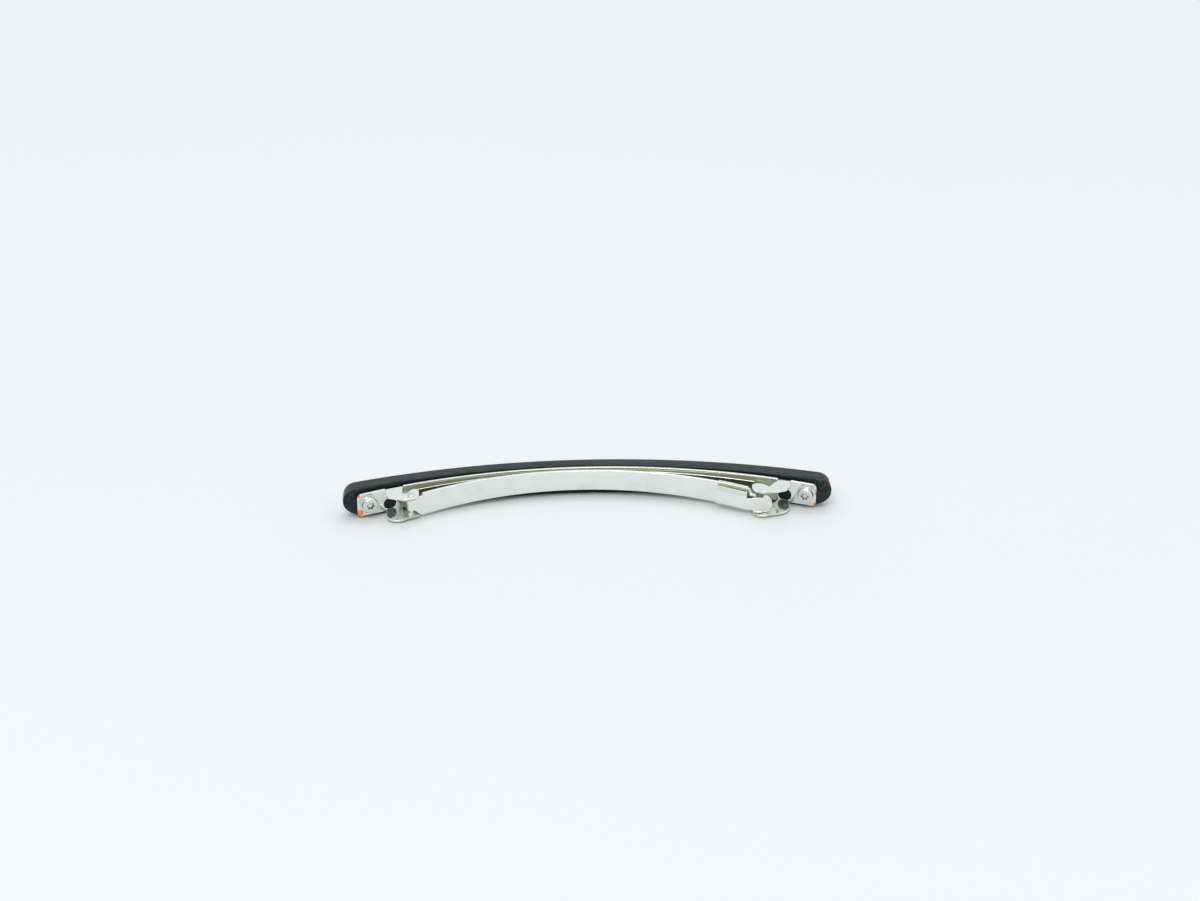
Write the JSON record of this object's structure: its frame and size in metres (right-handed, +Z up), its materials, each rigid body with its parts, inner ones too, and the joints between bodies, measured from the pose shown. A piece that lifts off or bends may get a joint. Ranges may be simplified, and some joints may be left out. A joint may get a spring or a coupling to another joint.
{
  "type": "hair clip",
  "caption": "Long bowed hair clip: a polished black bar with a sheet-metal snap clasp, screwed on at both ends, whose lever turns on a riveted hinge.",
  "frame": {"origin": "centre of the footprint, on the surface that the bar's long edge stands on", "axes": "+X along the bar towards the catch end, -Y from the bar to the clasp, +Z up"},
  "size_m": [0.1024, 0.0162, 0.007],
  "materials": {
    "black_bar": "polished black, like horn or acetate",
    "bright_nickel": "bright nickel plating on steel sheet",
    "spring_steel": "plain bright spring steel",
    "screw_steel": "bright turned steel"
  },
  "bodies": {
    "clip_base": {"bar": "black_bar", "base_plate": "bright_nickel", "tension_spring": "spring_steel", "hinge_pin": "screw_steel", "screw_left": "screw_steel", "screw_right": "screw_steel"},
    "clip_lever": {"lever": "bright_nickel", "end_sleeve": "bright_nickel"}
  },
  "joints": [
    {"name": "lever_hinge", "type": "hinge", "parent": "clip_base", "child": "clip_lever", "pos_m": [-0.037, -0.00441, 0.00326], "axis": [0, 0.0872, -0.9962], "range_deg": [0, 95]}
  ]
}
